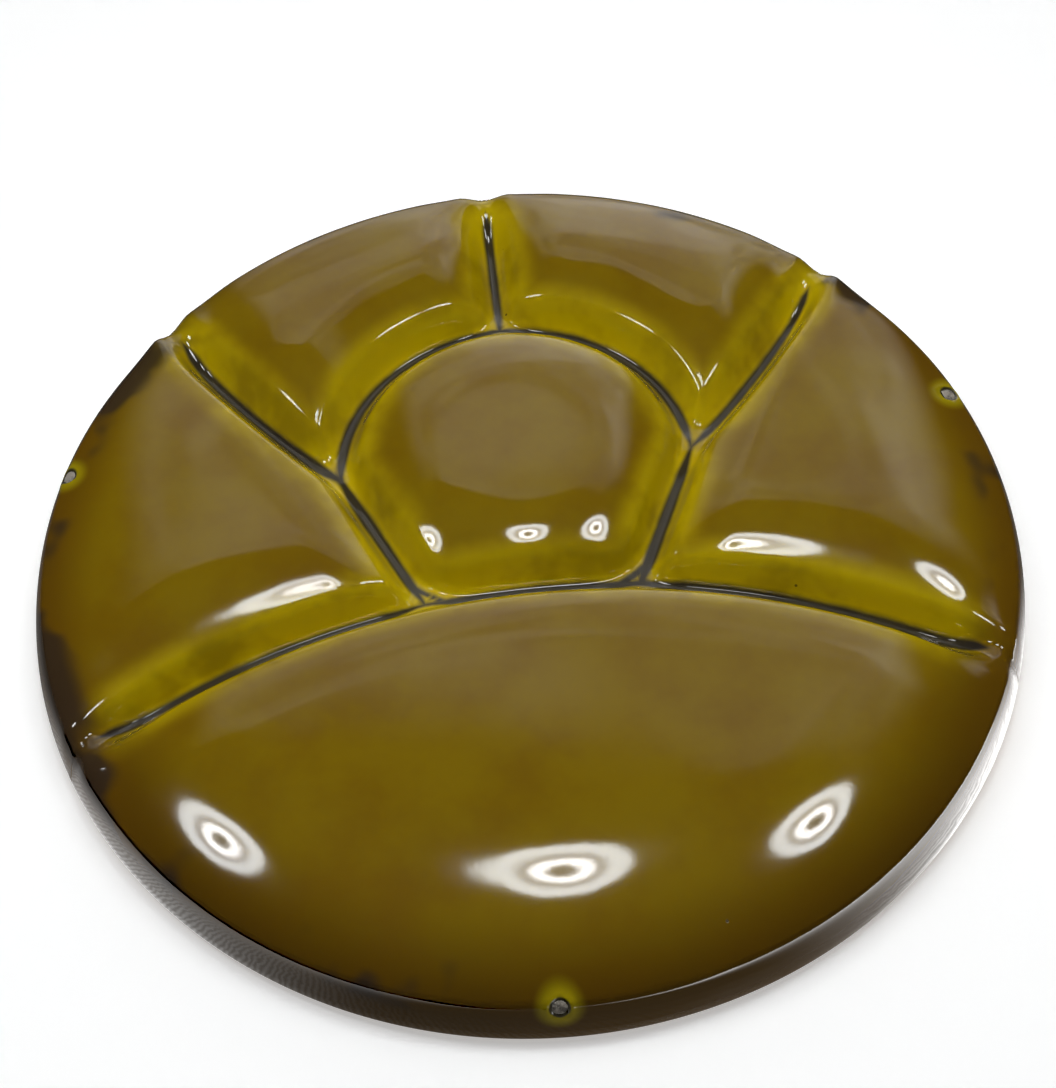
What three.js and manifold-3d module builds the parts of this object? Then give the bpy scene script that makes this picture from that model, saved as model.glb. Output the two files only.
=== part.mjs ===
// Divided appetizer plate: one moulded earthenware body with six wells, a glaze coat on the
// face and a glaze coat on the back. Millimetres, +Z up, standing on the well bottoms at z = 0,
// with the large well towards -Y.
import * as THREE from "three";
import { mergeVertices } from "three/addons/utils/BufferGeometryUtils.js";
import Module from "manifold-3d";

// Overall sizes, over the glaze.
const PLATE_DIAMETER = 250;
const PLATE_HEIGHT = 20;

// Thicknesses.
const GLAZE_THICKNESS = 0.5;
const GLAZE_CLEARANCE = 0.05; // between a coat and the clay under it
const GROOVE_POOL = 1.2; // depth of the glaze gathered in the grooves of the back
const FLOOR_THICKNESS = 4.5; // clay under a well
const RIB_THICKNESS = 5.5; // clay from the crest of a rib down to the groove below it

// Lip and walls.
const LIP_WIDTH = 5.5;
const LIP_ROUND = 3; // from the crest of the lip down to the widest part of the plate
const RIB_DROP = 1; // crest of a rib below the crest of the lip
const RIB_RUN = 13; // on the face, from the middle of a rib to the flat of a well
const CREST_ROUNDNESS = 3; // power of the walls beside a rib and a groove
const GROOVE_HALF_WIDTH = 8.5; // on the back
const GROOVE_RUN_OUT = 12; // length over which a groove comes up to the rim at its end
const PILLOW_RUN = 22; // on the back, from the middle of a groove to the flat of a well
const PILLOW_SHARE = 0.37; // of the depth beside a groove; the rest is the groove's own
const FACE_RIM_RUN = 14.5; // from the inside of the lip to the flat of a well
const FACE_FRONT_RIM_RUN = 39.5; // the same in the large well
const FACE_RIM_STEEPNESS = 0.45; // power of the wall inside the lip
const BACK_RIM_RUN = 37; // from the widest part of the plate to the flat of a well
const BACK_FRONT_RIM_RUN = 48; // the same in the large well
const BACK_RIM_STEEPNESS = 0.33; // power of the wall under the rim

// Plan of the wells.
const CENTRE_WELL_RADIUS = 46;
const CENTRE_WELL_SETBACK = 28.5; // middle of the centre well behind the middle of the plate
const NECK_HALF_WIDTH = 27; // half of the stretch of front rib that closes the centre well
const FRONT_RIB_RADIUS = 192;
const FRONT_RIB_ADVANCE = 10.5; // middle of the front rib in front of the middle of the plate
const SIDE_RIB_RADIUS = 300;
const SIDE_RIB_START = THREE.MathUtils.degToRad(44.5); // direction in which it leaves the centre well

// Kiln pin scars on the back: a hole in the glaze with a point of bare clay in it.
const SCAR_RADIUS = 2.2;
const SCAR_FRONT = { bearing: THREE.MathUtils.degToRad(-87.4), drop: 11.2 }; // drop from the lip's crest
const SCAR_RIGHT = { bearing: THREE.MathUtils.degToRad(16.6), drop: 12.8 };
const SCAR_LEFT = { bearing: THREE.MathUtils.degToRad(163.8), drop: 13.6 };
const SCAR_CLEARANCE = 0.5; // between the bare point and the edge of the glaze
const SCAR_POINT_HEIGHT = 0.4;
const SCAR_POINT_TAPER = 0.5; // tip of the bare point as a share of its base

// Facets.
const FACET_LENGTH = 10.5;
const LIP_STEPS = 2;
const BACK_LEVELS = [0.3, 0.6, 0.86, 1]; // shares of a well's depth at which its facets meet
const FACE_LEVELS = [0.06, 0.4, 0.75, 1];
const SPINE_REACH = 0.95; // how near to the spine of a well its last facets may come
const BISECTIONS = 40;
const FEWEST_FACETS = 3; // along the shortest line
const SPINE_INSET = 0.5; // where a spine ends, as a share of the way from a line to the well's middle
const SLOPE_STEP = 0.01; // over which the slope of a wall is measured
const SCAR_SIDES = 18;

// Looks.
const CLAY_COLOUR = 0xc9b79a;
const CLAY_ROUGHNESS = 0.85;
const GLAZE_COLOUR = 0x6d5808;
const GLAZE_ROUGHNESS = 0.15;

// Sizes that follow from those above. The clay is the plate less its two coats.
const CLAY_RADIUS = PLATE_DIAMETER / 2 - GLAZE_THICKNESS;
const CLAY_FOOT = GLAZE_THICKNESS;
const CLAY_FLOOR = CLAY_FOOT + FLOOR_THICKNESS;
const CLAY_CREST = PLATE_HEIGHT - GLAZE_THICKNESS;
const CLAY_WIDEST = CLAY_CREST - LIP_ROUND;
const CLAY_RIB = CLAY_CREST - RIB_DROP;
const CLAY_GROOVE = CLAY_RIB - RIB_THICKNESS;
const CREST_RADIUS = CLAY_RADIUS - LIP_WIDTH / 2;
const FACE_RADIUS = CLAY_RADIUS - LIP_WIDTH;

// How far a wall has gone down at a distance from its rib or rim: 0 beside it, 1 on the flat.
const shareOf = (distance, run) => THREE.MathUtils.clamp(distance / run, 0, 1);
const roundWall = (distance, run) => 1 - (1 - shareOf(distance, run)) ** 2;
const softWall = (distance, run) => 1 - (1 - shareOf(distance, run) ** 2) ** CREST_ROUNDNESS;
const ribWall = (distance) => softWall(distance, RIB_RUN);
const rimWall = (distance, run, steepness) => roundWall(distance, run) ** steepness;

// A groove that is round at its bottom, beside a broad round pillow.
function grooveWall(distance) {
  const groove = softWall(distance, GROOVE_HALF_WIDTH);
  return THREE.MathUtils.lerp(groove, roundWall(distance, PILLOW_RUN), PILLOW_SHARE);
}

// A groove keeps its height, and comes up to the widest part of the plate at its end.
function grooveHeight(p) {
  const share = rimWall(CLAY_RADIUS - p.length(), GROOVE_RUN_OUT, BACK_RIM_STEEPNESS);
  return THREE.MathUtils.lerp(CLAY_WIDEST, CLAY_GROOVE, share);
}

const BACK = {
  facing: -1,
  rimRadius: CLAY_RADIUS,
  rimHeight: CLAY_WIDEST,
  rimStandOff: GLAZE_THICKNESS,
  lineHeight: grooveHeight,
  lineStandOff: -GROOVE_POOL,
  flatHeight: CLAY_FOOT,
  levels: BACK_LEVELS,
  ribWall: grooveWall,
  rimRun: BACK_RIM_RUN,
  frontRimRun: BACK_FRONT_RIM_RUN,
  rimSteepness: BACK_RIM_STEEPNESS,
};

const FACE = {
  facing: 1,
  rimRadius: FACE_RADIUS,
  rimHeight: CLAY_RIB,
  rimStandOff: -GLAZE_THICKNESS,
  lineHeight: () => CLAY_RIB,
  lineStandOff: GLAZE_THICKNESS,
  flatHeight: CLAY_FLOOR,
  levels: FACE_LEVELS,
  ribWall,
  rimRun: FACE_RIM_RUN,
  frontRimRun: FACE_FRONT_RIM_RUN,
  rimSteepness: FACE_RIM_STEEPNESS,
};

function straight(from, to) {
  const along = to.clone().sub(from).normalize();
  return {
    curve: new THREE.LineCurve(from, to),
    distance: (p) => Math.abs(along.cross(p.clone().sub(from))),
  };
}

function arc(centre, radius, from, to, clockwise = false) {
  const start = from.clone().sub(centre).angle();
  const end = to.clone().sub(centre).angle();
  return {
    curve: new THREE.EllipseCurve(centre.x, centre.y, radius, radius, start, end, clockwise),
    distance: (p) => Math.abs(p.distanceTo(centre) - radius),
  };
}

// The point on the right where a circle meets the rim.
function rimMeeting(centre, radius, rimRadius) {
  const reach = centre.length();
  const along = (rimRadius ** 2 - radius ** 2 + reach ** 2) / (2 * reach);
  const aside = Math.sqrt(rimRadius ** 2 - along ** 2);
  const towards = centre.clone().normalize();
  const across = new THREE.Vector2(-towards.y, towards.x).multiplyScalar(aside);
  const middle = towards.multiplyScalar(along);
  const meetings = [middle.clone().add(across), middle.clone().sub(across)];
  return meetings[0].x > meetings[1].x ? meetings[0] : meetings[1];
}

const mirrored = (p) => new THREE.Vector2(-p.x, p.y);

// The lines that part the wells, inside a rim of the radius given.
function linesInside(rimRadius) {
  const plate = new THREE.Vector2(0, 0);
  const centre = new THREE.Vector2(0, CENTRE_WELL_SETBACK);
  const elbow = new THREE.Vector2(CENTRE_WELL_RADIUS, CENTRE_WELL_SETBACK);
  const top = new THREE.Vector2(0, CENTRE_WELL_SETBACK + CENTRE_WELL_RADIUS);
  const topEnd = new THREE.Vector2(0, rimRadius);

  const front = new THREE.Vector2(0, -FRONT_RIB_ADVANCE - FRONT_RIB_RADIUS);
  const neckY = front.y + Math.sqrt(FRONT_RIB_RADIUS ** 2 - NECK_HALF_WIDTH ** 2);
  const neck = new THREE.Vector2(NECK_HALF_WIDTH, neckY);
  const frontEnd = rimMeeting(front, FRONT_RIB_RADIUS, rimRadius);

  const sideTurn = new THREE.Vector2(-Math.sin(SIDE_RIB_START), Math.cos(SIDE_RIB_START));
  const side = elbow.clone().addScaledVector(sideTurn, SIDE_RIB_RADIUS);
  const sideEnd = rimMeeting(side, SIDE_RIB_RADIUS, rimRadius);

  return {
    frontRight: arc(front, FRONT_RIB_RADIUS, frontEnd, neck),
    frontNeck: arc(front, FRONT_RIB_RADIUS, neck, mirrored(neck)),
    frontLeft: arc(front, FRONT_RIB_RADIUS, mirrored(neck), mirrored(frontEnd)),
    neckRight: straight(neck, elbow),
    neckLeft: straight(mirrored(neck), mirrored(elbow)),
    centreRight: arc(centre, CENTRE_WELL_RADIUS, elbow, top),
    centreLeft: arc(centre, CENTRE_WELL_RADIUS, top, mirrored(elbow)),
    sideRight: arc(side, SIDE_RIB_RADIUS, elbow, sideEnd),
    sideLeft: arc(mirrored(side), SIDE_RIB_RADIUS, mirrored(elbow), mirrored(sideEnd), true),
    back: straight(top, topEnd),
    rimFront: arc(plate, rimRadius, mirrored(frontEnd), frontEnd),
    rimRight: arc(plate, rimRadius, frontEnd, sideEnd),
    rimBackRight: arc(plate, rimRadius, sideEnd, topEnd),
    rimBackLeft: arc(plate, rimRadius, topEnd, mirrored(sideEnd)),
    rimLeft: arc(plate, rimRadius, mirrored(sideEnd), mirrored(frontEnd)),
  };
}

// The outline of each well, anticlockwise, where a minus sign marks a line taken from its end to its
// start; the lines that its walls follow, one for each circle; and the two lines between which its
// spine runs.
const WELLS = [
  {
    outline: ["frontRight", "frontNeck", "frontLeft", "rimFront"],
    walls: ["frontNeck", "rimFront"],
    spine: ["frontLeft", "frontRight"],
  },
  {
    outline: ["-frontNeck", "neckRight", "centreRight", "centreLeft", "-neckLeft"],
    walls: ["frontNeck", "neckRight", "neckLeft", "centreRight"],
    spine: ["neckLeft", "neckRight"],
  },
  {
    outline: ["-frontRight", "rimRight", "-sideRight", "-neckRight"],
    walls: ["frontRight", "rimRight", "sideRight", "neckRight"],
    spine: ["frontRight", "sideRight"],
  },
  {
    outline: ["sideRight", "rimBackRight", "-back", "-centreRight"],
    walls: ["sideRight", "rimBackRight", "back", "centreRight"],
    spine: ["sideRight", "back"],
  },
  {
    outline: ["back", "rimBackLeft", "-sideLeft", "-centreLeft"],
    walls: ["back", "rimBackLeft", "sideLeft", "centreLeft"],
    spine: ["back", "sideLeft"],
  },
  {
    outline: ["-frontLeft", "neckLeft", "sideLeft", "rimLeft"],
    walls: ["frontLeft", "neckLeft", "sideLeft", "rimLeft"],
    spine: ["frontLeft", "sideLeft"],
  },
];
const RIM = ["rimFront", "rimRight", "rimBackRight", "rimBackLeft", "rimLeft"];

const backLines = linesInside(CLAY_RADIUS);
const faceLines = linesInside(FACE_RADIUS);

// Points along a line, as many on the face as on the back.
function spacedPoints(lines, name) {
  const steps = Math.ceil(backLines[name].curve.getLength() / FACET_LENGTH);
  return lines[name].curve.getSpacedPoints(Math.max(FEWEST_FACETS, steps));
}

// Bearings round the crest of the lip, midway between those of its two edges.
const rimPoints = (lines) => RIM.flatMap((name) => spacedPoints(lines, name).slice(0, -1));
const faceRimPoints = rimPoints(faceLines);
const crestWays = rimPoints(backLines).map((p, k) => {
  const way = p.clone().normalize().add(faceRimPoints[k].clone().normalize());
  return way.normalize();
});

const flat = (p) => new THREE.Vector2(p.x, p.y);

// The point on the way from start to end where a rising value reaches a level.
function pointAtLevel(start, end, value, level) {
  let low = 0;
  let high = 1;
  for (let i = 0; i < BISECTIONS; i += 1) {
    const middle = (low + high) / 2;
    if (value(start.clone().lerp(end, middle)) < level) {
      low = middle;
    } else {
      high = middle;
    }
  }
  return start.clone().lerp(end, high);
}

// One side of the clay as an open sheet that ends on the crest of the lip: its points, how the
// glaze stands off each of them, and its facets, which look away from the clay.
class Sheet {
  constructor(lines, side) {
    this.lines = lines;
    this.side = side;
    this.points = [];
    this.standOffs = [];
    this.facets = [];
    this.shared = new Map();
    this.runs = {};
    for (const name of Object.keys(lines)) {
      this.runs[name] = spacedPoints(lines, name).map((p) => this.addLinePoint(p, RIM.includes(name)));
    }
    WELLS.forEach((well) => this.addWell(well));
    this.addLip();
  }

  addPoint(point, standOff) {
    this.points.push(point);
    this.standOffs.push(standOff);
    return this.points.length - 1;
  }

  // Lines share the point in which they meet, and a point on the rim is glazed square to the rim.
  addLinePoint(p, onRim) {
    const key = p.toArray().map((v) => v.toFixed(4)).join();
    if (!this.shared.has(key)) {
      const point = new THREE.Vector3(p.x, p.y, this.side.lineHeight(p));
      this.shared.set(key, this.addPoint(point, new THREE.Vector3(0, 0, this.side.lineStandOff)));
    }
    const index = this.shared.get(key);
    if (onRim) {
      this.standOffs[index].set(p.x, p.y, 0).setLength(1).multiplyScalar(this.side.rimStandOff);
    }
    return index;
  }

  // How far the wall that follows a line has gone down at a point.
  wallAt(p, name) {
    const distance = this.lines[name].distance(p);
    if (!RIM.includes(name)) {
      return this.side.ribWall(distance);
    }
    const run = name === "rimFront" ? this.side.frontRimRun : this.side.rimRun;
    return rimWall(distance, run, this.side.rimSteepness);
  }

  // Rings of equal depth from the outline of a well down to its flat.
  addWell({ outline, walls, spine }) {
    const run = outline.flatMap((entry) => {
      const indices = [...this.runs[entry.replace("-", "")]];
      return (entry.startsWith("-") ? indices.reverse() : indices).slice(0, -1);
    });
    const starts = run.map((i) => flat(this.points[i]));
    const middle = starts.reduce((sum, p) => sum.add(p), new THREE.Vector2()).divideScalar(starts.length);
    const [spineStart, spineEnd] = spine.map((name) => {
      const lineMiddle = this.lines[name].curve.getPointAt(1 / 2);
      return lineMiddle.lerp(middle, SPINE_INSET);
    });
    const spineWay = spineEnd.clone().sub(spineStart);
    const onSpine = (p) => {
      const share = p.clone().sub(spineStart).dot(spineWay) / spineWay.lengthSq();
      return spineStart.clone().addScaledVector(spineWay, THREE.MathUtils.clamp(share, 0, 1));
    };

    // The flat begins at the least depth that the ways from the outline to the spine all reach.
    const ends = starts.map((start) => start.clone().lerp(onSpine(start), SPINE_REACH));
    const fall = (p) => walls.reduce((product, name) => product * this.wallAt(p, name), 1);
    const flatFall = Math.min(...ends.map(fall));
    const depth = (p) => Math.min(1, fall(p) / flatFall);
    const height = (p) => THREE.MathUtils.lerp(this.side.lineHeight(p), this.side.flatHeight, depth(p));

    let outer = run;
    for (const level of this.side.levels) {
      const inner = starts.map((start, k) => {
        const p = pointAtLevel(start, ends[k], depth, level);
        return this.addPoint(new THREE.Vector3(p.x, p.y, height(p)), this.coatAt(p, height));
      });
      this.addBand(outer, inner, this.side.facing);
      outer = inner;
    }
    const flatOutline = outer.map((i) => flat(this.points[i]));
    for (const [a, b, c] of THREE.ShapeUtils.triangulateShape(flatOutline, [])) {
      this.addFacet(outer[a], outer[b], outer[c], this.side.facing);
    }
  }

  // Glaze of even thickness, square to the surface.
  coatAt(p, height) {
    const at = (dx, dy) => height(new THREE.Vector2(p.x + dx, p.y + dy));
    const fallX = at(-SLOPE_STEP, 0) - at(SLOPE_STEP, 0);
    const fallY = at(0, -SLOPE_STEP) - at(0, SLOPE_STEP);
    const square = new THREE.Vector3(fallX, fallY, 2 * SLOPE_STEP);
    return square.setLength(1).multiplyScalar(this.side.facing * GLAZE_THICKNESS);
  }

  // The quarter round of the lip on this side, from its edge up to the crest.
  addLip() {
    let edge = RIM.flatMap((name) => this.runs[name].slice(0, -1));
    const edgeWays = edge.map((i) => flat(this.points[i]).normalize());
    const width = this.side.rimRadius - CREST_RADIUS;
    const rise = CLAY_CREST - this.side.rimHeight;
    for (let s = 1; s <= LIP_STEPS; s += 1) {
      const turn = (Math.PI / 2) * (s / LIP_STEPS);
      const ring = edgeWays.map((edgeWay, k) => {
        const way = edgeWay.clone().lerp(crestWays[k], s / LIP_STEPS).normalize();
        const reach = CREST_RADIUS + width * Math.cos(turn);
        const z = this.side.rimHeight + rise * Math.sin(turn);
        const point = new THREE.Vector3(way.x * reach, way.y * reach, z);
        const outward = Math.cos(turn) / width;
        const square = new THREE.Vector3(way.x * outward, way.y * outward, Math.sin(turn) / rise);
        return this.addPoint(point, square.setLength(GLAZE_THICKNESS));
      });
      this.addBand(width > 0 ? edge : ring, width > 0 ? ring : edge, 1);
      edge = ring;
    }
  }

  addFacet(a, b, c, facing) {
    this.facets.push(facing > 0 ? [a, b, c] : [a, c, b]);
  }

  // Facets between two closed runs, the outer one and the one inside it.
  addBand(outer, inner, facing) {
    outer.forEach((i, k) => {
      const next = (k + 1) % outer.length;
      this.addFacet(i, outer[next], inner[k], facing);
      this.addFacet(inner[k], outer[next], inner[next], facing);
    });
  }
}

function geometryOf(points, facets) {
  const geometry = new THREE.BufferGeometry().setFromPoints(points);
  geometry.setIndex(facets.flat());
  return mergeVertices(geometry);
}

// Two sheets joined along the crest of the lip.
function closedBy(sheet, other) {
  const shift = sheet.points.length;
  const otherFacets = other.facets.map((facet) => facet.map((i) => i + shift));
  return geometryOf([...sheet.points, ...other.points], [...sheet.facets, ...otherFacets]);
}

// The coat on a sheet: the glazed surface, the clay side turned over, and the cut end between them.
function coatOf(sheet) {
  const shift = sheet.points.length;
  const glazed = sheet.points.map((p, i) => p.clone().add(sheet.standOffs[i]));
  const seat = GLAZE_CLEARANCE / GLAZE_THICKNESS;
  const seated = sheet.points.map((p, i) => p.clone().addScaledVector(sheet.standOffs[i], seat));
  const claySide = sheet.facets.map(([a, b, c]) => [a + shift, c + shift, b + shift]);
  const sides = sheet.facets.flatMap(([a, b, c]) => [[a, b], [b, c], [c, a]]);
  const paired = new Set(sides.map(([a, b]) => `${b},${a}`));
  const open = sides.filter(([a, b]) => !paired.has(`${a},${b}`));
  const cutEnd = open.flatMap(([a, b]) => [[b, a, a + shift], [b, a + shift, b + shift]]);
  return geometryOf([...glazed, ...seated], [...sheet.facets, ...claySide, ...cutEnd]);
}

const backSheet = new Sheet(backLines, BACK);
const faceSheet = new Sheet(faceLines, FACE);
const clayShape = closedBy(backSheet, faceSheet);

// Solids for the cuts and joins.
const kernel = await Module();
kernel.setup();

function solidOf(geometry) {
  const merged = mergeVertices(geometry.clone().deleteAttribute("normal").deleteAttribute("uv"));
  const mesh = new kernel.Mesh({
    numProp: 3,
    vertProperties: new Float32Array(merged.attributes.position.array),
    triVerts: new Uint32Array(merged.index.array),
  });
  mesh.merge();
  return new kernel.Manifold(mesh);
}

function geometryOfSolid(solid) {
  const mesh = solid.getMesh();
  const geometry = new THREE.BufferGeometry();
  geometry.setAttribute("position", new THREE.BufferAttribute(mesh.vertProperties, 3));
  geometry.setIndex(new THREE.BufferAttribute(mesh.triVerts, 1));
  return geometry;
}

// Where each scar lies on the outer wall, and the way the wall faces there.
function scarSeat({ bearing, drop }) {
  const way = new THREE.Vector3(Math.cos(bearing), Math.sin(bearing), 0);
  const outside = way.clone().multiplyScalar(PLATE_DIAMETER);
  outside.z = CLAY_CREST - drop;
  const inward = new THREE.Raycaster(outside, way.clone().negate());
  const [hit] = inward.intersectObject(new THREE.Mesh(clayShape));
  return { place: hit.point, facing: hit.face.normal };
}

// A turned piece centred on the wall at a scar and square to it.
function onWall(geometry, seat) {
  const turn = new THREE.Quaternion().setFromUnitVectors(new THREE.Vector3(0, 1, 0), seat.facing);
  return geometry.applyQuaternion(turn).translate(...seat.place.toArray());
}

const scarSeats = [SCAR_FRONT, SCAR_RIGHT, SCAR_LEFT].map(scarSeat);

const pointRadius = SCAR_RADIUS - SCAR_CLEARANCE;
const barePoints = scarSeats.map((seat) => {
  const tip = pointRadius * SCAR_POINT_TAPER;
  const depth = 2 * SCAR_POINT_HEIGHT;
  return solidOf(onWall(new THREE.CylinderGeometry(tip, pointRadius, depth, SCAR_SIDES), seat));
});
const scarHoles = scarSeats.map((seat) => {
  const depth = 2 * SCAR_RADIUS;
  return solidOf(onWall(new THREE.CylinderGeometry(SCAR_RADIUS, SCAR_RADIUS, depth, SCAR_SIDES), seat));
});

const clay = geometryOfSolid(kernel.Manifold.union([solidOf(clayShape), ...barePoints]));
const backGlaze = geometryOfSolid(kernel.Manifold.difference([solidOf(coatOf(backSheet)), ...scarHoles]));
const faceGlaze = coatOf(faceSheet);

function piece(name, geometry, color, roughness) {
  const mesh = new THREE.Mesh(geometry, new THREE.MeshStandardMaterial({ color, roughness, metalness: 0 }));
  mesh.name = name;
  return mesh;
}

const group = new THREE.Group();
group.name = "divided_appetizer_plate";
group.add(piece("clay_body", clay, CLAY_COLOUR, CLAY_ROUGHNESS));
group.add(piece("back_glaze", backGlaze, GLAZE_COLOUR, GLAZE_ROUGHNESS));
group.add(piece("face_glaze", faceGlaze, GLAZE_COLOUR, GLAZE_ROUGHNESS));

export default group;
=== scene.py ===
import math

import bmesh
import bpy
import numpy as np
from mathutils import Matrix, Vector


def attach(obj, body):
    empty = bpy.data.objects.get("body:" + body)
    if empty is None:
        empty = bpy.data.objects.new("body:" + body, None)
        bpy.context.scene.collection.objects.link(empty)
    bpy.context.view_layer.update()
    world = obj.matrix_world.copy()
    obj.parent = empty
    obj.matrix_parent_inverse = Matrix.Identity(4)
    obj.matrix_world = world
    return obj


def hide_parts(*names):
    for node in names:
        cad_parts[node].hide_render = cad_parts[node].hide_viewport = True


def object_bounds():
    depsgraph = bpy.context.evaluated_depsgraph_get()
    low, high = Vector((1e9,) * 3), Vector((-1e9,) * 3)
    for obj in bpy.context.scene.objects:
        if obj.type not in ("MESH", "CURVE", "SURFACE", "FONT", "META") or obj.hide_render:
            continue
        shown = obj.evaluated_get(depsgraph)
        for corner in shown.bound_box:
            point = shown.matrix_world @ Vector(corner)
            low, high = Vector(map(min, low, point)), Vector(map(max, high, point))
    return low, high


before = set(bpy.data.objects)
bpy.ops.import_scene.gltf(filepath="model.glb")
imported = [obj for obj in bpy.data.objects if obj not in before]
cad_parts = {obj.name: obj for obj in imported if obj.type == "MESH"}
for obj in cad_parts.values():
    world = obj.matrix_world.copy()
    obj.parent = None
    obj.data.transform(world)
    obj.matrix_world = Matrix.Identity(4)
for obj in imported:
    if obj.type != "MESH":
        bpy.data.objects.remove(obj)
cadLow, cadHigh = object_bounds()
print("frame loaded with nodes", sorted(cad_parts))

mm = 0.001
fullTurn = 2 * math.pi
quarterTurn = math.pi / 2

# the moulded form, in mm, with the wells open upwards and the large one towards -Y
form = {
    "height": cadHigh.z / mm,
    "radius": cadHigh.y / mm,  # over the glaze
    "glaze": 0.5,  # from the clay to the outside of a coat
    "clearance": 0.05,  # between glaze and clay
    "floorClay": 4.5,
    "ribClay": 5.5,  # from a rib's crest down to the groove under it
    "lipWidth": 5.5,
    "lipRound": 3.0,
    "ribDrop": 1.0,  # from the lip's crest down to a rib's
    "ribRun": 13.0,  # face: from a rib's middle to the flat
    "crestRoundness": 3.0,
    "faceRimRun": 14.5,
    "faceFrontRimRun": 39.5,
    "faceRimSteepness": 0.45,
    "grooveRunOut": 12.0,  # back: how far from the rim a groove has its full depth
    "runOutSteepness": 0.33,
    "skirtRun": 4.0,  # width of the steep edge under the rim
    "saddle": 1.6,  # how much shallower a groove is where others join it
    "saddleReach": 6.0,
    "fade": 6.6,  # how much shallower it is before the rim
    "fadeInset": 6.0,
    "fadeReach": 9.0,
    "fadeWidth": 10.0,
    "groovePool": 0.1,  # share of the depth that glaze fills at the bottom of a groove
    "poolStart": 5.0,  # distance from the rim where it is filled so far
    "centreRadius": 46.0,
    "centreSetback": 28.5,
    "neckHalf": 27.0,
    "neckRounding": 10.0,  # so that the halves meet without a crease
    "neckRounded": (8.0, 22.0),  # distances from the middle between which that ends
    "frontRadius": 192.0,
    "frontAdvance": 10.5,
    "sideRadius": 300.0,
    "sideStart": math.radians(44.5),
}

# how the surfaces are divided
tiling = {
    "trialPoints": 60,  # on a line whose length is measured
    "spacing": 1.75,  # mm between points along a line
    "scarReach": 4.0,  # mm to each side of a scar where the points are closer
    "scarMargin": 1.1,
    "scarPoints": 25,
    "scarRings": (0.003, 0.16),  # shares of the way to the spine between which more rings lie
    "crowding": 1.6,  # of the rings towards the lines
    "spineInset": 0.5,  # from the middle of a line towards the middle of the well
    "spineReach": 0.93,  # how far towards the spine the rings go
    "fewestLipSteps": 4,
    "ringsPerLipStep": 4,
    "lipLineGap": 40.0,  # the lip counts as far from every groove
    "lipRimGap": 4.0,  # mm beyond the rim for a radian round the lip
    "weld": 2000,  # steps in a mm to which points are rounded when they are welded
}

# kiln pin scars on the back: bearing, distance in from the edge of the plate, and what they lie on
scars = {
    "front": {"bearing": math.radians(-87.4), "inset": 2.6, "well": "front", "line": "rimFront"},
    "right": {"bearing": math.radians(16.6), "inset": 4.1, "well": "side", "line": "rimRight"},
    "left": {"bearing": math.radians(163.8), "inset": 5.6, "well": "side", "line": "rimLeft"},
}
scarShape = {
    "hole": 2.3,
    "sink": 0.46,
    "edgeOut": 0.25,  # the wall of the hole, outside and inside its edge
    "edgeIn": 0.35,
    "ridge": 0.14,
    "ridgeGap": 0.6,
    "ridgeWidth": 0.55,
    "point": 2.0,
    "pointTop": 1.2,
    "pointHeight": 0.5,
    "pointRough": 0.25,
    "roughWaves": (9.1, 7.7),  # radians in a mm
    "reach": 12.0,  # a point farther than this counts as beyond the scar
    "beyond": 9.0,
    "probe": 0.05,  # step on which the slope of the wall is taken
}


def softWall(gap, run):  # level at its start, steep half way, level at its end
    return 1 - (1 - np.clip(gap / run, 0, 1) ** 2) ** form["crestRoundness"]


def roundWall(gap, run):  # a parabola, steepest at its start
    return 1 - (1 - np.clip(gap / run, 0, 1)) ** 2


def rimWall(share, steepness):  # upright at the rim, then a long curve to the flat
    return np.clip(1 - (1 - np.clip(share, 0, 1)) ** 2, 0, 1) ** steepness


def smooth(low, high, value):  # 0 at low, 1 at high, level at both ends
    share = np.clip((value - low) / (high - low), 0, 1)
    return share * share * (3 - 2 * share)


frontCentre = np.array([0.0, -form["frontAdvance"] - form["frontRadius"]])
wellCentre = np.array([0.0, form["centreSetback"]])
elbow = wellCentre + [form["centreRadius"], 0]
wellTop = wellCentre + [0, form["centreRadius"]]
neckRise = math.sqrt(form["frontRadius"] ** 2 - form["neckHalf"] ** 2)
neck = np.array([form["neckHalf"], frontCentre[1] + neckRise])
sideWay = np.array([-math.sin(form["sideStart"]), math.cos(form["sideStart"])])
sideCentre = elbow + form["sideRadius"] * sideWay
mirror = np.array([-1.0, 1.0])


def rimMeeting(centre, radius, rimRadius):  # right-hand point where a circle meets the rim
    reach = np.hypot(*centre)
    along = (rimRadius**2 - radius**2 + reach**2) / (2 * reach)
    aside = math.sqrt(rimRadius**2 - along**2)
    towards = centre / reach
    across = np.array([-towards[1], towards[0]]) * aside
    meetings = [towards * along + across, towards * along - across]
    return max(meetings, key=lambda p: p[0])


# distances from the lines of one half, which the other half mirrors
def lineGaps(x, y, rimRadius):
    side = np.abs(x)
    rounding = np.sqrt(side**2 + form["neckRounding"] ** 2) - side
    rounded = side + rounding * (1 - smooth(*form["neckRounded"], side))
    way = (elbow - neck) / np.linalg.norm(elbow - neck)
    return {
        "front": np.abs(np.hypot(x, y - frontCentre[1]) - form["frontRadius"]),
        "centre": np.abs(np.hypot(x, y - wellCentre[1]) - form["centreRadius"]),
        "neck": np.abs(way[0] * (y - neck[1]) - way[1] * (rounded - neck[0])),
        "side": np.abs(np.hypot(side - sideCentre[0], y - sideCentre[1]) - form["sideRadius"]),
        "back": side,
        "rim": rimRadius - np.hypot(x, y),
    }


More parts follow.
